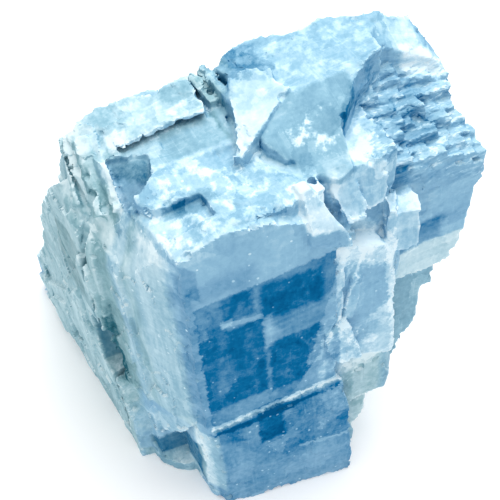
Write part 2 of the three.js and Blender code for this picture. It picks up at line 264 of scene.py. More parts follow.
def cutRelief(stone):
    groups = {name: stone.vertex_groups.new(name=name) for name in relief}
    for vertex in stone.data.vertices:
        weights = reliefWeights(cleavagePoint(vertex.co), vertex.normal)
        for name, weight in weights.items():
            if weight > 0.01:
                groups[name].add([vertex.index], weight, "REPLACE")
    guide = bpy.data.objects.new("grain_guide", None)
    scene.collection.objects.link(guide)
    for name, settings in relief.items():
        texture = bpy.data.textures.new(name, settings["kind"])
        texture.noise_scale = 1.0
        if settings["kind"] == "VORONOI":
            texture.distance_metric = "CHEBYCHEV"
            texture.color_mode = "POSITION"
        else:
            texture.noise_depth = settings["octaves"]
        turned = fromCleavage.copy()
        for column in range(3):
            along = turned.col[column].normalized() * settings["grain"][column] * mm
            for row in range(3):
                turned[row][column] = along[row]
        guide.matrix_world = Matrix.Translation(cleavage["corner"] * mm) @ turned.to_4x4()
        bpy.context.view_layer.update()
        applyModifier(stone, "DISPLACE", texture=texture, texture_coords="OBJECT",
                      texture_coords_object=guide, mid_level=0.5, strength=settings["depth"] * mm,
                      vertex_group=name)
        print("relief cut:", name)
    bpy.data.objects.remove(guide)


def dropCrumbs(stone):
    # chips can leave loose crumbs and tiny bubbles, so only the largest shell stays
    inEditMode(stone, (bpy.ops.mesh.separate, {"type": "LOOSE"}))
    shells = sorted(bpy.context.selected_objects, key=lambda shell: len(shell.data.polygons))
    for crumb in shells[:-1]:
        bpy.data.objects.remove(crumb)
    shells[-1].name = "calcite_stone"
    print("crumbs dropped:", len(shells) - 1)
    return shells[-1]


def keepInBox(stone):
    # no grain may stand out beyond the overall size of the solid
    low, high = cadBox
    for vertex in stone.data.vertices:
        for axis in range(3):
            vertex.co[axis] = min(max(vertex.co[axis], low[axis] + grain["inside"] * mm),
                                  high[axis] - grain["inside"] * mm)
        if vertex.co.z < grain["restsUnder"] * mm:
            vertex.co.z = low[2]


stone = newStone()
chipEdges(stone)
regrain(stone)
cutRelief(stone)
thinOut(stone)
stone = dropCrumbs(stone)
keepInBox(stone)
pickOnly(stone)
bpy.ops.object.shade_smooth_by_angle(angle=math.radians(grain["smoothTo"]))


# the finish: one field of milkiness, from clear deep blue to frosted white
class Recipe:
    # short names for the node kinds that the finish is mixed from
    def __init__(self, name):
        self.material = bpy.data.materials.new(name)
        self.material.use_nodes = True
        self.tree = self.material.node_tree
        self.shader = self.tree.nodes["Principled BSDF"]

    def feed(self, socket, value):
        if isinstance(value, bpy.types.NodeSocket):
            self.tree.links.new(value, socket)
        elif value is not None:
            socket.default_value = value

    def add(self, kind, **settings):
        made = self.tree.nodes.new(kind)
        for name, value in settings.items():
            setattr(made, name, value)
        return made

    def math(self, operation, first, second=None, third=None, clamp=False):
        made = self.add("ShaderNodeMath", operation=operation, use_clamp=clamp)
        for socket, value in zip(made.inputs, (first, second, third)):
            self.feed(socket, value)
        return made.outputs[0]

    def vector(self, operation, first, second=None, scale=None):
        made = self.add("ShaderNodeVectorMath", operation=operation)
        self.feed(made.inputs[0], first)
        self.feed(made.inputs[1], second)
        if scale is not None:
            self.feed(made.inputs["Scale"], scale)
        return made.outputs["Value" if operation == "DOT_PRODUCT" else "Vector"]

    def plus(self, *terms):
        total = terms[0]
        for term in terms[1:]:
            total = self.math("ADD", total, term)
        return total

    def times(self, *terms):
        total = terms[0]
        for term in terms[1:]:
            total = self.math("MULTIPLY", total, term)
        return total

    def ramp(self, value, low, high, to=(0.0, 1.0), smooth=True):
        made = self.add("ShaderNodeMapRange", interpolation_type="SMOOTHSTEP" if smooth else "LINEAR")
        self.feed(made.inputs["Value"], value)
        self.feed(made.inputs["From Min"], low)
        self.feed(made.inputs["From Max"], high)
        self.feed(made.inputs["To Min"], to[0])
        self.feed(made.inputs["To Max"], to[1])
        return made.outputs["Result"]

    def stretch(self, vector, grain):
        # grain is the size in mm of one patch along left, front and top
        made = self.add("ShaderNodeMapping", vector_type="POINT")
        self.feed(made.inputs["Vector"], vector)
        self.feed(made.inputs["Scale"], tuple(1 / side for side in grain))
        return made.outputs["Vector"]

    def noise(self, vector, pattern, extraShift=0.0):
        made = self.add("ShaderNodeTexNoise", noise_dimensions="4D")
        self.feed(made.inputs["Vector"], self.stretch(vector, pattern["grain"]))
        self.feed(made.inputs["W"], pattern["shift"] + extraShift)
        self.feed(made.inputs["Scale"], 1.0)
        self.feed(made.inputs["Detail"], pattern["detail"])
        self.feed(made.inputs["Roughness"], pattern["rough"])
        return made.outputs["Fac"]

    def patches(self, vector, pattern, to=(0.0, 1.0)):
        return self.ramp(self.noise(vector, pattern), *pattern["ramp"], to=to)

    def colours(self, value, stops):
        made = self.add("ShaderNodeValToRGB")
        made.color_ramp.interpolation = "LINEAR"
        points = made.color_ramp.elements
        while len(points) < len(stops):
            points.new(0.5)
        for point, (place, colour) in zip(points, stops):
            point.position = place
            point.color = (*colour, 1)
        self.feed(made.inputs["Fac"], value)
        return made.outputs["Color"]

    def blend(self, share, under, over):
        made = self.add("ShaderNodeMix", data_type="RGBA")
        self.feed(made.inputs["Factor"], share)
        self.feed(made.inputs["A"], under)
        self.feed(made.inputs["B"], over)
        return made.outputs["Result"]


finish = {
    "clearToFrost": (
        (0.00, (0.001, 0.085, 0.235)), (0.12, (0.002, 0.141, 0.342)), (0.30, (0.10, 0.28, 0.47)),
        (0.45, (0.18, 0.38, 0.57)), (0.60, (0.25, 0.48, 0.66)), (0.75, (0.38, 0.61, 0.76)),
        (0.90, (0.55, 0.75, 0.87)), (1.00, (0.72, 0.87, 0.94))),
    "greyGreen": (
        (0.00, (0.008, 0.060, 0.085)), (0.15, (0.03, 0.14, 0.19)), (0.35, (0.12, 0.27, 0.32)),
        (0.60, (0.25, 0.445, 0.503)), (0.80, (0.43, 0.62, 0.68)), (1.00, (0.68, 0.83, 0.87))),
    "body": 0.60,            # milkiness of a plain face
    "topFrostAndLight": 0.21,        # frost added where a face looks upwards, and painted light: upward faces lighter as light falls from above
    "frost": 0.22,           # each of these is how far its own pattern moves the milkiness
    "haze": 0.20,
    "streaks": 0.16,
    # painted glints: white flecks standing in for highlights on the frayed leaves; gleam is the darker blue
    # between them
    "glints": 0.30,
    "gleam": 0.18,
    "gleamRamp": (0.50, 0.36),
    "bands": 0.22,
    "specks": 0.45,
    "tints": 0.09,
    "traces": 0.07,
    "traceWidth": 0.012,
    "traceScale": 0.4,       # traces come closer together as this grows
    "clouds": 0.06,
    "mottle": 0.07,
    "mottleInCalm": (0.7, 0.3),  # the part of the mottle that calm takes away, and the part that stays
    "topGreen": 0.22,
    "topPatches": 0.28,
    "wear": 0.28,
    "wearRamp": (0.88, 0.50),
    # painted shade in crevices: how strongly, over which AO values, and how far that AO looks
    "paintedCreviceShade": 0.30,
    "creviceShadeRamp": (0.75, 0.15),
    "wearReach": 0.55 * mm,
    "creviceShadeReach": 2.6 * mm,
    "ragged": 0.45,          # how far a zone's border wanders, unless the zone says otherwise
    "wander": 2.5,           # mm of wander for a raggedness of 1
    "wanderGrain": (0.9, 0.9, 0.9),
    "wanderDetail": 3.0,
    "wanderRough": 0.65,
    "blockGrain": (3.0, 3.4, 3.2),
    "speckFrom": 0.55,       # share of places that stay without a speck
    "speckSize": 0.25,       # mm, the largest speck
    "speckFade": -0.07,
    "grit": (0.15, 0.6),     # bump strength of clear and of frosted stone
    "gritDepth": 0.08 * mm,
    "roughness": (0.40, 0.62),
    "shine": (0.0, 0.30),
}

# grain is in mm, detail and rough are the noise's own, shift sets one pattern apart from the next,
# and ramp is the part of the noise that counts
patterns = {
    "clouds": {"grain": (7, 7, 7), "detail": 3, "rough": 0.6, "shift": 1.0, "ramp": (0.3, 0.7)},
    "mottle": {"grain": (0.8, 0.8, 0.8), "detail": 4, "rough": 0.68, "shift": 2.0, "ramp": (0.3, 0.7)},
    "frost": {"grain": (2.1, 2.1, 2.1), "detail": 5, "rough": 0.6, "shift": 3.0, "ramp": (0.48, 0.60)},
    "haze": {"grain": (2.2, 2.2, 3.2), "detail": 4, "rough": 0.62, "shift": 8.0, "ramp": (0.42, 0.78)},
    "streaks": {"grain": (1.8, 1.8, 14), "detail": 3, "rough": 0.55, "shift": 4.0, "ramp": (0.3, 0.7)},
    "bands": {"grain": (60, 60, 2.0), "detail": 3, "rough": 0.6, "shift": 5.0, "ramp": (0.3, 0.7)},
    "ripple": {"grain": (2.4, 0.75, 0.6), "detail": 5, "rough": 0.66, "shift": 6.0, "ramp": (0.53, 0.61)},
    "patchy": {"grain": (1.6, 1.6, 1.6), "detail": 4, "rough": 0.6, "shift": 7.0, "ramp": (0.38, 0.62)},
    "lengths": {"grain": (3.5, 3.5, 3.5), "detail": 2, "rough": 0.5, "shift": 10.0, "ramp": (0.48, 0.58)},
}
bothWays = (-1.0, 1.0)

# Zones inside the crystal. Each lies between a lowest and a highest distance in mm from the left,
# front and top faces. A slant gives weights for the three distances, then the limits of their sum.
# Soft is how wide the border fades, and ragged how far it wanders. The rest is how much the zone
# adds of milk, green, calm and wear, and of the frost, haze, streaks, glints, bands and specks.
# Some zones paint shade into pockets, grooves and gaps, and some paint light that lifts the shade there.
zones = {
    "window": {
        "left": (-18.9, 0.6), "front": (-1.2, 1.2), "top": (-33.0, -1.0),
        "soft": 0.3, "milk": -0.06, "calm": 0.5, "wear": -0.7, "streaks": -0.2, "specks": 0.5, "haze": 0.3},
    "window left strip": {
        "left": (-0.8, 1.2), "front": (-3.0, 1.2), "top": (-31.5, -5.0),
        "soft": 0.4, "milk": -0.2, "wear": -0.7, "specks": 0.5, "haze": 0.3},
    "window deep": {
        "left": (-19.0, -0.7), "front": (-1.2, 1.2), "top": (-33.5, -8.1),
        "soft": 0.2, "ragged": 0.6, "milk": -0.28, "haze": 0.4},
    "window dark left": {
        "left": (-9.1, -0.8), "front": (-1.2, 1.2), "top": (-28.5, -14.0),
        "soft": 0.4, "milk": -0.19, "haze": 0.1},
    "window dark left top": {
        "left": (-4.1, -2.0), "front": (-1.2, 1.2), "top": (-14.0, -8.9),
        "soft": 0.5, "milk": -0.11},
    "window pale edge": {
        "left": (-9.0, -0.8), "front": (-1.2, 1.2), "top": (-8.1, -4.5),
        "soft": 1.0, "milk": -0.15},
    "window bottom left": {
        "left": (-9.4, -1.0), "front": (-1.2, 1.2), "top": (-26.0, -22.5),
        "soft": 0.9, "ragged": 1.5, "milk": 0.05},
    "window dark upper": {
        "left": (-8.2, -4.1), "front": (-1.2, 1.2), "top": (-12.6, -8.5),
        "soft": 0.35, "milk": -0.17, "haze": 0.1},
    "window dark upper right": {
        "left": (-16.9, -9.0), "front": (-1.2, 1.2), "slants": (((-0.145, 0, 1), -13.2, -7.3),),
        "soft": 0.6, "milk": -0.19, "haze": 0.1},
    "window dark right": {
        "left": (-17.0, -9.6), "front": (-1.2, 1.2), "top": (-29.3, -19.4),
        "slants": (((1.4, 0, 1), -48.8, -20.0),),
        "soft": 0.4, "milk": -0.19, "haze": 0.1},
    "window pale band": {
        "left": (-17.0, -9.3), "front": (-1.2, 1.2), "top": (-19.4, -15.6),
        "soft": 0.3, "milk": 0.03, "bands": 0.3},
    "window pale shelf": {
        "left": (-9.2, -3.7), "front": (-1.2, 1.2), "slants": (((-0.216, 0, 1), -12.3, -11.5),),
        "soft": 0.12, "ragged": 0.3, "milk": 0.17},
    "window pale spot": {
        "left": (-5.3, -3.8), "front": (-1.2, 1.2), "top": (-13.1, -12.0),
        "soft": 0.15, "ragged": 0.5, "milk": 0.22},
    "window joint": {
        "left": (-10.2, -9.1), "front": (-1.2, 1.2), "slants": (((0.3, 0, 1), -23.0, -17.0),),
        "soft": 0.35, "milk": 0.14},
    "window pale corner": {
        "left": (-17.3, -10.2), "front": (-1.2, 1.2), "top": (-33.0, -24.0),
        "slants": (((1.4, 0, 1), -80.0, -48.8),),
        "soft": 0.3, "milk": 0.12},
    "window right strip": {
        "left": (-19.5, -16.6), "front": (-1.2, 1.2), "top": (-15.0, -8.2),
        "soft": 0.5, "milk": -0.06},
    "window corner notch": {
        "left": (-1.7, 0.5), "front": (-2.5, 1.2), "slants": (((-0.9, 0, 1), -5.4, -0.6),),
        "soft": 0.2, "milk": -0.17},
    "rim": {
        "left": (-19.6, -0.4), "front": (-0.4, 0.3), "top": (-32.8, -31.8),
        "soft": 0.15, "ragged": 0.5, "milk": 0.42, "frost": 0.5},
    "rim front": {
        "left": (-20.5, -0.4), "front": (0.3, 2.0), "top": (-32.9, -31.6),
        "soft": 0.4, "milk": -0.08, "frost": -0.35},
    "foot": {
        "left": (-23.0, 0.0), "front": (-2.5, 2.5), "top": (-60.0, -32.7),
        "soft": 0.4, "milk": -0.32, "calm": 0.2, "specks": 0.7, "wear": -0.5,
        "streaks": -0.25, "haze": 0.5},
    "foot dark": {
        "left": (-10.6, -6.9), "front": (-1.5, 2.5), "top": (-38.4, -31.6),
        "soft": 0.4, "milk": -0.24, "haze": -0.4},
    "foot right": {
        "left": (-20.5, -12.5), "front": (-1.5, 2.5), "slants": (((-0.225, 0, 1), -40.4, -29.0),),
        "soft": 0.6, "milk": -0.08},
    "foot dark left": {
        "left": (-6.9, -2.6), "front": (-1.5, 2.5), "top": (-36.4, -32.8),
        "soft": 0.5, "milk": -0.09},
    "foot line": {
        "left": (-20.8, -12.6), "front": (-1.5, 2.5), "slants": (((-0.225, 0, 1), -40.7, -40.1),),
        "soft": 0.12, "ragged": 0.7, "milk": 0.22},
    "foot pale base": {
        "left": (-20.0, -2.0), "front": (-1.5, 2.5), "slants": (((0.25, 0, 1), -60.0, -48.5),),
        "soft": 1.2, "milk": 0.1},
    "foot pale side": {
        "left": (-1.0, 1.4), "front": (-3.0, 2.0), "top": (-47.0, -33.4),
        "soft": 0.4, "milk": 0.24, "green": 0.25},
    "flank": {
        "left": (0.9, 5.0), "front": (-9.0, -1.6), "top": (-34.0, 1.5),
        "soft": 0.5, "milk": 0.06, "green": 0.4, "streaks": 0.45, "specks": 0.4, "calm": 0.3},
    "flank back": {
        "left": (1.2, 6.5), "front": (-14.5, -7.5), "top": (-34.0, 0.0),
        "soft": 1.0, "milk": 0.02, "green": 0.35, "streaks": 0.4, "calm": 0.2},
    "flank low edge": {
        "left": (0.4, 6.5), "front": (-14.0, -1.6), "slants": (((0, -0.85, 1), -34.5, -29.5),),
        "soft": 0.7, "milk": 0.1, "green": 0.2},
    "flank shade": {
        "left": (3.4, 6.2), "front": (-14.5, -11.4), "top": (-35.0, -17.0),
        "soft": 0.8, "milk": -0.26, "green": 0.2},
    "shoulder": {
        "left": (0.6, 4.6), "front": (-14.0, -4.0), "top": (-7.5, -0.6),
        "soft": 1.0, "milk": 0.09},
    # painted shade: the recess under the flank made darker and greener
    "hollow": {
        "left": (-3.0, 5.0), "front": (-13.0, -1.9), "top": (-47.9, -30.0),
        "slants": (((0, -0.85, 1), -50.0, -36.0),),
        "soft": 0.5, "milk": -0.4, "green": 0.35, "calm": 0.6, "wear": -0.6},
    "nub": {
        "left": (-2.0, 6.5), "front": (-17.0, -5.0), "top": (-60.0, -48.0),
        "soft": 0.4, "milk": -0.05, "green": 0.5},
    # painted shade: a crevice on the left side made darker
    "hole": {
        "left": (1.0, 6.7), "front": (-18.8, -13.5), "top": (-34.6, -20.0),
        "soft": 0.4, "milk": -0.32, "green": -0.15, "calm": 0.7, "wear": -0.8},
    "left side": {
        "left": (1.5, 12.0), "front": (-50.0, -11.5), "top": (-60.0, 6.0),
        "soft": 1.2, "milk": 0.02, "green": 0.85, "streaks": 0.1, "frost": 0.15},
    "left facet": {
        "left": (4.6, 7.2), "front": (-28.0, -18.0), "slants": (((0, -0.4, 1), -13.0, -3.0),),
        "soft": 0.5, "milk": -0.16, "green": 0.1},
    # painted shade: the groove between the ribs made darker
    "rib groove": {
        "left": (2.2, 5.4), "front": (-24.0, -13.0), "slants": (((0, 0.714, 1), -16.3, -14.5),),
        "soft": 0.5, "milk": -0.2},
    # painted shade: the second groove between the ribs made darker
    "second rib groove": {
        "left": (1.0, 4.2), "front": (-18.0, -10.4), "slants": (((0, 0.794, 1), -12.8, -11.3),),
        "soft": 0.4, "milk": -0.3},
    "rib shade": {
        "left": (2.4, 5.4), "front": (-22.0, -13.0), "slants": (((0, 0.714, 1), -12.9, -11.7),),
        "soft": 0.4, "milk": -0.42},
    "ribs": {
        "left": (0.2, 5.2), "front": (-24.5, -11.0), "top": (-6.5, 2.6),
        "soft": 0.5, "milk": 0.22, "streaks": 0.1, "calm": 0.4, "frost": -0.2},
    "block top": {
        "left": (-15.0, 1.5), "front": (-24.0, -16.0), "top": (1.2, 4.0),
        "soft": 0.6, "milk": -0.08, "green": 0.35, "frost": 0.2, "streaks": 0.2},
    "block top right": {
        "left": (-15.0, -8.6), "front": (-24.5, -17.0), "top": (1.2, 4.0),
        "soft": 0.9, "milk": -0.2, "frost": -0.2},
    # painted shade: the face under the block's lip made darker blue, as if turned from the light
    "block face": {
        "left": (-13.5, 0.5), "front": (-17.0, -12.4), "top": (-0.5, 1.9),
        "soft": 0.4, "milk": -0.22, "green": 0.25, "frost": -0.3, "bands": 0.4},
    # painted shade: the pocket near the top left made darker
    "pocket": {
        "left": (-3.4, 2.0), "front": (-14.8, -8.4), "slants": (((0.15, 0, 1), -3.5, 0.2),),
        "soft": 1.3, "ragged": 1.6, "milk": -0.24, "frost": -0.4},
    # painted shade: the front-facing riser made darker and less frosted
    "riser": {
        "left": (-7.8, -1.6), "front": (-7.0, -5.1), "top": (-0.6, 1.3),
        "slants": (((0.22, 1, 0), -8.5, -6.1),),
        "soft": 0.35, "milk": -0.3, "green": 0.15, "frost": -0.8},
    "corner frost": {
        "left": (-2.6, 1.6), "front": (-6.5, -0.6), "top": (-2.5, 1.6),
        "soft": 0.8, "milk": 0.22, "frost": 0.3},
    "top front": {
        "left": (-19.0, 2.0), "front": (-12.0, -0.5), "top": (-1.0, 3.0),
        "slants": (((1, 0.553, 0), -19.15, 9.0),),
        "soft": 0.4, "milk": -0.18, "frost": 0.9, "specks": 0.3},
    "knob": {
        "left": (-20.6, -15.0), "front": (-3.3, 1.2), "slants": (((-0.25, 0, 1), 0.3, 7.0),),
        "soft": 0.35, "milk": 0.36, "frost": 0.7},
    # painted shade: the gap beside the knob made darker
    "knob gap": {
        "front": (-5.0, -1.9), "top": (-9.5, -1.2), "slants": (((1, 0, -0.457), -18.5, -17.0),),
        "soft": 0.3, "milk": -0.22},
    # painted light: the pit beside the knob made lighter, lifting its shade
    "knob pit": {
        "left": (-18.9, -16.8), "front": (-4.9, -3.2), "top": (-2.6, -0.4),
        "soft": 0.3, "milk": 0.3, "green": -0.2, "wear": -1.0},
    "knob front": {
        "left": (-19.5, -14.5), "front": (-0.2, 1.6), "top": (-6.0, -2.4),
        "soft": 0.5, "milk": -0.07},
    "mid face": {
        "left": (-27.8, -11.5), "front": (-12.6, -2.5),
        "slants": (((0, 0.28, 1), -2.9, 0.45),
                   ((1, -1.955, 0), -40.0, 3.9),
                   ((1, 0.553, 0), -60.0, -19.15)),
        "soft": 0.35, "milk": -0.28, "green": 0.15, "frost": -0.3, "calm": 0.2},
    # painted light: lighter between the slabs, lifting the shade in their crevices
    "slabs": {
        "left": (-17.6, -13.0), "front": (-24.0, -17.0), "top": (0.4, 3.0),
        "soft": 0.4, "milk": 0.15, "green": 0.4, "frost": -0.4, "wear": -0.6},
    "slab foot": {
        "left": (-16.5, -13.0), "front": (-17.0, -11.0), "top": (0.2, 2.4),
        "slants": (((1, -0.451, 0), -8.3, 5.0),),
        "soft": 0.35, "milk": -0.14, "green": 0.3, "frost": -0.5},
    # painted light: the slot under the lip made lighter and bluer, lifting its shade
    "lip slot": {
        "left": (-13.2, -0.5), "front": (-18.9, -15.9), "top": (1.5, 2.3),
        "soft": 0.2, "milk": 0.26, "green": -0.3, "wear": -0.8},
    "frosted ring": {
        "left": (-23.6, -18.2), "front": (-10.0, -6.3), "slants": (((0, 0.28, 1), -2.4, 0.6),),
        "soft": 0.6, "ragged": 2.0, "milk": 0.06, "frost": 2.2},
    "blue patch": {
        "left": (-21.5, -15.5), "front": (-22.5, -17.0), "top": (1.0, 5.0),
        "soft": 0.8, "ragged": 1.5, "milk": -0.3},
    "mass top": {
        "left": (-42.0, -15.0), "front": (-24.0, -12.8), "top": (1.5, 5.0),
        "soft": 0.6, "milk": -0.15, "frost": 0.5},
    "pale wall": {
        "front": (-11.5, -4.0), "top": (-2.6, 1.0), "slants": (((1, -0.68, 0), -23.0, -20.0),),
        "soft": 0.4, "milk": 0.02, "frost": 0.4},
    "shelf glitter": {
        "front": (-10.5, -4.0), "top": (-3.2, -0.9), "slants": (((1, -0.68, 0), -30.0, -23.0),),
        "soft": 0.4, "ragged": 1.5, "milk": -0.26, "glints": 0.9, "frost": -0.3, "calm": 0.5},
    "ridge shade": {
        "front": (-13.8, -8.3), "top": (-3.0, 3.2), "slants": (((1, -1.2, 0), -15.6, -14.2),),
        "soft": 0.3, "milk": -0.16, "frost": -0.4},
    # painted light: lighter at the foot of the mid face, lifting the shade there
    "mid foot": {
        "left": (-17.5, -12.0), "front": (-10.0, -3.5), "top": (-1.0, 1.6),
        "slants": (((1, 0.553, 0), -20.3, -19.0),),
        "soft": 0.4, "milk": 0.26},
    "right bevel": {
        "left": (-45.0, -39.9), "front": (-20.0, -14.6), "top": (-3.4, 0.2),
        "soft": 0.5, "milk": -0.14},
    "frayed zone": {
        "left": (-50.0, -27.4), "front": (-15.0, -5.3), "slants": (((0.349, -0.676, -1), -2.2, 2.0),),
        "soft": 0.6, "milk": -0.1, "glints": 1.0, "calm": 0.6, "wear": -0.3, "frost": -0.3},
    "frayed deep": {
        "left": (-38.0, -31.5), "front": (-12.5, -7.0), "top": (-8.0, -2.5),
        "soft": 1.2, "milk": -0.2},
    "frayed front": {
        "left": (-42.6, -27.4), "front": (-7.6, -5.3), "slants": (((0.349, 0, -1), -8.2, -3.0),),
        "soft": 0.6, "milk": 0.1},
    "frayed back": {
        "left": (-42.5, -36.5), "front": (-15.4, -13.8), "top": (-6.0, 0.5),
        "soft": 0.5, "milk": 0.4},
    "wall": {
        "left": (-42.5, -28.5), "front": (-7.2, -4.6), "top": (-27.0, -7.0),
        "soft": 0.4, "milk": -0.06, "bands": 0.35, "streaks": -0.2, "wear": -0.4, "calm": 0.3},
    "wall deep left": {
        "left": (-31.8, -27.0), "front": (-7.2, -4.6), "slants": (((0.2, 0, 1), -18.4, -12.6),),
        "soft": 0.5, "milk": -0.32},
    "wall deep low": {
        "left": (-37.0, -29.0), "front": (-7.2, -4.6), "top": (-20.8, -17.0),
        "soft": 0.7, "milk": -0.32},
    "wall band": {
        "left": (-40.5, -29.0), "front": (-7.2, -4.6), "top": (-27.0, -21.0),
        "soft": 0.3, "milk": 0.3, "green": 0.55},
    "right low": {
        "left": (-45.0, -22.0), "front": (-30.0, -2.0), "top": (-62.0, -27.0),
        "soft": 1.5, "milk": -0.06, "green": 0.45},
    "cluster": {
        "left": (-27.8, -19.0), "front": (-6.0, -0.5), "top": (-8.0, -0.5),
        "soft": 0.4, "milk": 0.12, "frost": 0.4, "streaks": 0.4},
    "uprights": {
        "left": (-31.9, -26.8), "front": (-6.5, -1.0), "top": (-12.4, -7.5),
        "soft": 0.4, "milk": 0.1, "frost": 0.2},
    "seat shade": {
        "left": (-27.0, -21.0), "front": (-5.2, -2.0), "top": (-14.0, -8.2),
        "soft": 0.6, "milk": -0.12},
    "plate": {
        "left": (-27.0, -20.0), "front": (-2.4, -0.6), "slants": (((0.12, 0, 1), -31.0, -17.0),),
        "soft": 1.6, "milk": -0.14, "specks": 0.5, "calm": 0.3},
    "plate top": {
        "left": (-27.4, -19.5), "front": (-5.0, -0.6), "slants": (((-0.53, 0, 1), -1.9, 3.0),),
        "soft": 0.6, "ragged": 1.5, "milk": 0.26, "frost": 0.8},
    "plate left band": {
        "front": (-5.0, 1.2), "top": (-27.0, -9.0), "slants": (((1, 0, 0.29), -24.4, -22.4),),
        "soft": 0.25, "ragged": 0.8, "milk": 0.18, "frost": 0.6},
    "plate line": {
        "front": (-3.0, 1.2), "top": (-23.0, -12.0), "slants": (((1, 0, 0.42), -28.75, -28.3),),
        "soft": 0.16, "milk": 0.26},
    "plate second line": {
        "front": (-3.0, 1.2), "top": (-22.5, -14.0), "slants": (((1, 0, 0.42), -27.45, -27.05),),
        "soft": 0.16, "milk": 0.22},
    "plate crevice": {
        "left": (-21.0, -19.3), "front": (-3.0, 0.4), "top": (-22.0, -15.5),
        "soft": 0.4, "milk": 0.1},
    "plate frost": {
        "left": (-20.6, -16.8), "front": (-1.5, 1.4), "top": (-25.8, -21.2),
        "soft": 0.7, "ragged": 2.2, "milk": 0.14, "frost": 1.2},
    "plate right rim": {
        "front": (-5.0, 1.2), "top": (-34.0, -13.0), "slants": (((1, 0, -0.084), -27.0, -25.1),),
        "soft": 0.2, "ragged": 0.9, "milk": 0.18, "frost": 0.7},
    "plate bottom": {
        "left": (-28.6, -16.0), "front": (-5.0, 1.2), "slants": (((0.5, 0, 1), -49.0, -36.5),),
        "soft": 0.6, "ragged": 1.2, "milk": 0.12, "frost": 0.9},
    "green column": {
        "left": (-27.5, -20.5), "front": (-5.0, -1.5), "top": (-52.0, -34.0),
        "soft": 0.8, "milk": 0.2, "green": 0.5},
    "flake": {
        "slants": (((1, -1.955, 0), 3.4, 40.0),
                   ((1, -0.451, 0), -30.0, -8.3),
                   ((1, 1.357, 0), -39.9, 0.0),
                   ((0, 0.28, 1), -2.3, 1.2)),
        "soft": 0.2, "ragged": 0.3, "milk": 0.12, "calm": 0.5, "frost": -0.2},
    # painted light: lifts the shade along the flake's side wall
    "flake shade": {
        "slants": (((1, -1.955, 0), 1.6, 3.4),
                   ((1, 0.553, 0), -34.0, -19.5),
                   ((0, 0.28, 1), -2.6, 0.4)),
        "soft": 0.4, "milk": 0.05},
}


axisWeights = {"left": (1, 0, 0), "front": (0, 1, 0), "top": (0, 0, 1)}


def zoneMask(recipe, point, zone):
    limits = [(weights, *zone[axis]) for axis, weights in axisWeights.items() if axis in zone]
    depth = None
    for weights, low, high in (*limits, *zone.get("slants", ())):
        along = recipe.vector("DOT_PRODUCT", point, weights)
        away = recipe.math("ABSOLUTE", recipe.math("SUBTRACT", along, (low + high) / 2))
        away = recipe.math("SUBTRACT", away, (high - low) / 2)
        depth = away if depth is None else recipe.math("MAXIMUM", depth, away)
    return recipe.ramp(depth, -zone["soft"], zone["soft"], to=(1.0, 0.0))


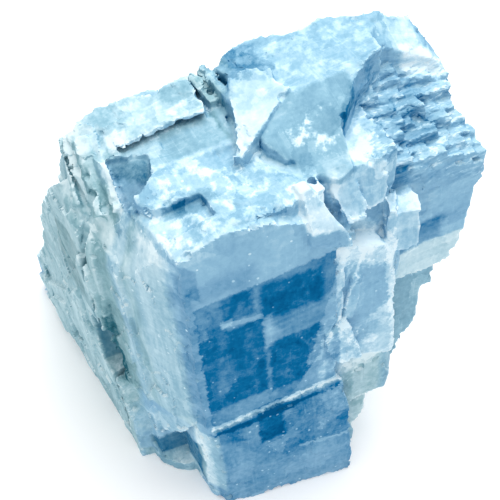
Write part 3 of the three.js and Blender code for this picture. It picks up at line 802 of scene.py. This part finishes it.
def mixCalcite():
    recipe = Recipe("calcite")
    coordinates = recipe.add("ShaderNodeTexCoord").outputs["Object"]
    facing = recipe.add("ShaderNodeNewGeometry").outputs["Normal"]
    place = recipe.vector("SCALE", coordinates, scale=1 / mm)
    fromCorner = recipe.vector("SUBTRACT", place, cleavage["corner"])
    axes = recipe.add("ShaderNodeCombineXYZ")
    for socket, way in zip(axes.inputs, (left, front, top)):
        recipe.feed(socket, recipe.vector("DOT_PRODUCT", fromCorner, way))
    point = axes.outputs[0]
    facingTop = recipe.ramp(recipe.vector("DOT_PRODUCT", facing, top), 0.55, 0.9)

    # zone borders wander by a fraction of a millimetre, unless a zone says otherwise
    wander = recipe.add("ShaderNodeTexNoise", noise_dimensions="3D")
    recipe.feed(wander.inputs["Vector"], recipe.stretch(place, finish["wanderGrain"]))
    recipe.feed(wander.inputs["Scale"], 1.0)
    recipe.feed(wander.inputs["Detail"], finish["wanderDetail"])
    recipe.feed(wander.inputs["Roughness"], finish["wanderRough"])
    offset = recipe.vector("SUBTRACT", wander.outputs["Color"], (0.5, 0.5, 0.5))
    wandering = {}

    # upward faces get more milk, for frost and for painted light from above, more green and frost patches
    amount = {
        "milk": recipe.plus(finish["body"], recipe.times(facingTop, finish["topFrostAndLight"])),
        "green": recipe.math("MULTIPLY_ADD", facingTop, finish["topGreen"], 0.06),
        "frost": recipe.times(facingTop, finish["topPatches"]),
        "streaks": 0.25, "glints": 0.0, "bands": 0.0, "specks": 0.12, "haze": 0.0, "calm": 0.0,
        "wear": 1.0}
    for name, zone in zones.items():
        reach = zone.get("ragged", finish["ragged"])
        if reach not in wandering:
            drift = recipe.vector("SCALE", offset, scale=finish["wander"] * reach)
            wandering[reach] = recipe.vector("ADD", point, drift)
        mask = zoneMask(recipe, wandering[reach], zone)
        for kind in amount:
            if kind in zone:
                amount[kind] = recipe.math("MULTIPLY_ADD", mask, zone[kind], amount[kind])
    milk = amount["milk"]

    def stir(milk, pattern, *shares):
        return recipe.math("MULTIPLY_ADD", pattern, recipe.times(*shares), milk)

    # tints in cleavage blocks, slow clouds, and a fine mottle that is fainter in the clear parts
    blocks = recipe.add("ShaderNodeTexVoronoi", distance="CHEBYCHEV")
    recipe.feed(blocks.inputs["Vector"], recipe.stretch(wandering[finish["ragged"]], finish["blockGrain"]))
    recipe.feed(blocks.inputs["Scale"], 1.0)
    tint = recipe.add("ShaderNodeSeparateColor")
    recipe.feed(tint.inputs["Color"], blocks.outputs["Color"])
    loud = recipe.math("SUBTRACT", 1.0, amount["calm"], clamp=True)
    milk = stir(milk, recipe.ramp(tint.outputs[0], 0, 1, to=bothWays, smooth=False), finish["tints"], loud)
    milk = stir(milk, recipe.patches(place, patterns["clouds"], bothWays), finish["clouds"], loud)
    mottle = recipe.noise(place, patterns["mottle"])
    milk = stir(milk, recipe.ramp(mottle, *patterns["mottle"]["ramp"], to=bothWays), finish["mottle"],
                recipe.math("MULTIPLY_ADD", loud, *finish["mottleInCalm"]))

    # faint straight traces of cleavage, broken into lengths
    for index, socket in enumerate(("X", "Y", "Z")):
        split = recipe.add("ShaderNodeSeparateXYZ")
        recipe.feed(split.inputs[0], point)
        level = recipe.add("ShaderNodeTexNoise", noise_dimensions="1D")
        recipe.feed(level.inputs["W"], split.outputs[socket])
        recipe.feed(level.inputs["Scale"], finish["traceScale"])
        recipe.feed(level.inputs["Detail"], 2.0)
        fromMiddle = recipe.math("ABSOLUTE", recipe.math("SUBTRACT", level.outputs["Fac"], 0.5))
        line = recipe.ramp(fromMiddle, finish["traceWidth"], 0.0)
        lengths = recipe.noise(place, patterns["lengths"], extraShift=index)
        lengths = recipe.ramp(lengths, *patterns["lengths"]["ramp"])
        milk = stir(milk, recipe.times(line, lengths), finish["traces"], loud)

    # frost in patches, haze in the clear parts, streaks up the sides, level bands, and painted glints
    # (highlights) along the frayed leaves, with darker blue between them
    milk = stir(milk, recipe.patches(place, patterns["frost"]), amount["frost"], finish["frost"])
    for name, way in (("haze", (0.0, 1.0)), ("streaks", bothWays), ("bands", bothWays)):
        milk = stir(milk, recipe.patches(point, patterns[name], way), amount[name], finish[name])
    ripple = recipe.noise(point, patterns["ripple"])
    milk = stir(milk, recipe.ramp(ripple, *patterns["ripple"]["ramp"]), amount["glints"], finish["glints"])
    milk = stir(milk, recipe.ramp(ripple, *finish["gleamRamp"]), amount["glints"], -finish["gleam"])

    # loose specks
    dots = recipe.add("ShaderNodeTexVoronoi")
    recipe.feed(dots.inputs["Vector"], recipe.stretch(place, (1.0, 1.0, 1.0)))
    recipe.feed(dots.inputs["Scale"], 1.0)
    chosen = recipe.add("ShaderNodeSeparateColor")
    recipe.feed(chosen.inputs["Color"], dots.outputs["Color"])
    dotSize = recipe.ramp(chosen.outputs[0], finish["speckFrom"], 1.0, to=(0.0, finish["speckSize"]),
                          smooth=False)
    fromDot = recipe.math("SUBTRACT", dots.outputs["Distance"], dotSize)
    speck = recipe.ramp(fromDot, 0.0, finish["speckFade"])
    milk = stir(milk, speck, amount["specks"], finish["specks"])

    # worn edges turn white; painted shade darkens the crevices that the AO finds hollow
    edges = recipe.add("ShaderNodeAmbientOcclusion", samples=6, inside=True, only_local=True)
    recipe.feed(edges.inputs["Distance"], finish["wearReach"])
    patchy = recipe.patches(place, patterns["patchy"], (0.25, 1.0))
    worn = recipe.ramp(edges.outputs["AO"], *finish["wearRamp"])
    milk = stir(milk, worn, patchy, amount["wear"], finish["wear"])
    # painted shade: crevices darker where this AO finds them hollow
    hollow = recipe.add("ShaderNodeAmbientOcclusion", samples=6, only_local=True)
    recipe.feed(hollow.inputs["Distance"], finish["creviceShadeReach"])
    milk = stir(milk, recipe.ramp(hollow.outputs["AO"], *finish["creviceShadeRamp"]), -finish["paintedCreviceShade"])

    milk = recipe.ramp(milk, 0.0, 1.0, smooth=False)
    green = recipe.ramp(amount["green"], 0.0, 1.0, smooth=False)
    colour = recipe.blend(green, recipe.colours(milk, finish["clearToFrost"]),
                          recipe.colours(milk, finish["greyGreen"]))
    shader = recipe.shader.inputs
    recipe.feed(shader["Base Color"], colour)
    recipe.feed(shader["Roughness"], recipe.ramp(milk, 0.2, 0.9, to=finish["roughness"], smooth=False))
    recipe.feed(shader["Specular IOR Level"], recipe.ramp(milk, 0.2, 0.8, to=finish["shine"], smooth=False))

    grit = recipe.add("ShaderNodeBump")
    recipe.feed(grit.inputs["Strength"], recipe.ramp(milk, 0.2, 0.8, to=finish["grit"], smooth=False))
    recipe.feed(grit.inputs["Distance"], finish["gritDepth"])
    recipe.feed(grit.inputs["Height"], mottle)
    recipe.feed(shader["Normal"], grit.outputs["Normal"])
    return recipe.material


stone.data.materials.clear()
stone.data.materials.append(mixCalcite())
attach(stone, "root")
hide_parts("calcite_mass")
print("finish mixed")

# floor, light and camera
studio = {"paper": 0.93, "paperGlow": 0.12, "sky": 0.85}

bpy.ops.object.select_all(action="DESELECT")
bpy.ops.mesh.primitive_plane_add(size=6)
floor = bpy.context.active_object
floor.name = "floor"
paper = bpy.data.materials.new("white_paper")
paper.use_nodes = True
paperShader = paper.node_tree.nodes["Principled BSDF"].inputs
paperShader["Base Color"].default_value = (studio["paper"], studio["paper"], studio["paper"], 1)
paperShader["Roughness"].default_value = 0.9
paperShader["Specular IOR Level"].default_value = 0.0
paperShader["Emission Color"].default_value = (1, 1, 1, 1)
paperShader["Emission Strength"].default_value = studio["paperGlow"]
floor.data.materials.append(paper)

world = bpy.data.worlds.new("studio")
scene.world = world
world.use_nodes = True
world.node_tree.nodes["Background"].inputs["Color"].default_value = (1, 1, 1, 1)
world.node_tree.nodes["Background"].inputs["Strength"].default_value = studio["sky"]

lamps = {
    "overhead": {"place": (40, 70, 420), "aim": (0, 0, 20), "size": 280, "power": 1.1},
}
for name, settings in lamps.items():
    data = bpy.data.lights.new(name, "AREA")
    data.shape = "DISK"
    data.size = settings["size"] * mm
    data.energy = settings["power"]
    lamp = bpy.data.objects.new(name, data)
    scene.collection.objects.link(lamp)
    place = Vector(settings["place"]) * mm
    lamp.location = place
    lamp.rotation_euler = (Vector(settings["aim"]) * mm - place).to_track_quat("-Z", "Y").to_euler()

view = {"place": (4.99, -81.75, 122.1), "aim": (4.99, 3.90, 27.0), "lens": 57.6}
cameraData = bpy.data.cameras.new("camera")
cameraData.lens = view["lens"]
cameraData.sensor_width = 36
cameraData.clip_start = 0.01
camera = bpy.data.objects.new("camera", cameraData)
scene.collection.objects.link(camera)
camera.location = Vector(view["place"]) * mm
camera.rotation_euler = ((Vector(view["aim"]) - Vector(view["place"]))).to_track_quat("-Z", "Y").to_euler()
scene.camera = camera
scene.view_settings.view_transform = "Standard"
